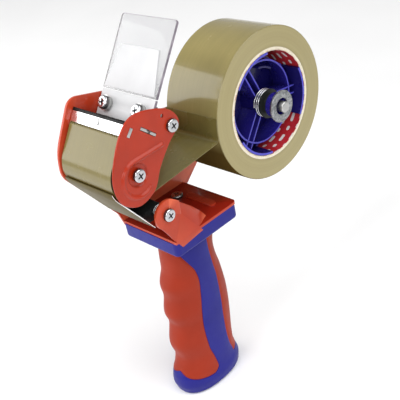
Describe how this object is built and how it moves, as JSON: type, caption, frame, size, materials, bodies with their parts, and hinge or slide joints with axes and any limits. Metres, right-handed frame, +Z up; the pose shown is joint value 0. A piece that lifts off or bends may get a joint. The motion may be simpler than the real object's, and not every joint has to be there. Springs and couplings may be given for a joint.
{
  "type": "carton tape dispenser",
  "caption": "Hand-held carton-tape dispenser: pressed steel frame, pistol grip with finger grooves, tape roll on a braked hub, pressure roller, toothed cutter and clear wiper plate.",
  "frame": {"origin": "centre of the hand grip, on the tape's middle plane", "axes": "+X forward to the cutter, +Y to the open side where the roll is loaded, +Z up along the handle to the head"},
  "size_m": [0.2022, 0.0705, 0.2859],
  "materials": {
    "red_paint": "gloss",
    "blue_plastic": "satin",
    "red_grip": "matte",
    "zinc": "satin",
    "chrome_screw": "polished",
    "blade_steel": "polished",
    "clear_plastic": "gloss",
    "frosted_plastic": "matte",
    "black_rubber": "matte",
    "black_plastic": "satin",
    "white_plastic": "satin",
    "guide_steel": "satin",
    "hub_blue": "gloss",
    "spring_steel": "satin",
    "cardboard_core": "matte",
    "core_print": "satin",
    "tan_tape": "gloss"
  },
  "bodies": {
    "frame": {"base_frame": "red_paint", "head_plate_near": "red_paint", "handle_core": "blue_plastic", "grip_front": "red_grip", "grip_rear": "red_grip", "saddle_screws": "zinc", "cutter_blade": "blade_steel", "blade_carrier": "zinc", "blade_rivet": "zinc", "wiper_bracket": "zinc", "wiper_foot": "clear_plastic", "wiper_screws": "chrome_screw", "wiper_washers": "zinc", "wiper_sleeves": "zinc", "head_spacer": "zinc", "head_screws": "chrome_screw", "roller_axle": "zinc", "roller_screws": "chrome_screw", "lower_shaft": "zinc", "shaft_screws": "chrome_screw", "flap_spring": "spring_steel", "spindle_stud": "zinc", "brake_spring": "spring_steel", "tape_web": "tan_tape"},
    "roll": {"hub_shell": "hub_blue", "hub_web": "hub_blue", "hub_ring": "hub_blue", "hub_ribs": "hub_blue", "core_label": "core_print", "tape_core": "cardboard_core", "tape_roll": "tan_tape"},
    "app_roller": {"roller_core": "black_plastic", "roller_bushes": "white_plastic", "roller_sleeve": "black_rubber"},
    "guide_flap_arm": {"guide_flap": "guide_steel", "flap_carrier": "black_plastic"},
    "brake_adjuster": {"brake_seat": "black_plastic", "brake_knob": "hub_blue", "brake_washer": "zinc"},
    "wiper": {"wiper_leaf": "clear_plastic", "wiper_stiffener": "frosted_plastic"}
  },
  "joints": [
    {"name": "roll_spin", "type": "hinge", "parent": "frame", "child": "roll", "pos_m": [-0.085, 0, 0.13], "axis": [0, 1, 0], "continuous": true},
    {"name": "app_roller_spin", "type": "hinge", "parent": "frame", "child": "app_roller", "pos_m": [0.0423, 0, 0.1392], "axis": [0, 1, 0], "continuous": true},
    {"name": "guide_flap_swing", "type": "hinge", "parent": "frame", "child": "guide_flap_arm", "pos_m": [0.0272, 0, 0.1018], "axis": [0, 1, 0], "range_deg": [0, 32], "stiffness_Nm_per_rad": 0.04, "springref_deg": -20.05},
    {"name": "brake_turn", "type": "hinge", "parent": "frame", "child": "brake_adjuster", "pos_m": [-0.085, 0, 0.13], "axis": [0, 1, 0], "range_deg": [-180, 180]},
    {"name": "wiper_flex", "type": "hinge", "parent": "frame", "child": "wiper", "pos_m": [0.01449, 0, 0.17638], "axis": [0, 1, 0], "range_deg": [-15, 10], "stiffness_Nm_per_rad": 0.8}
  ],
  "couplings": [
    {"joint": "app_roller_spin", "follows": "roll_spin", "ratio": -2.8971}
  ]
}
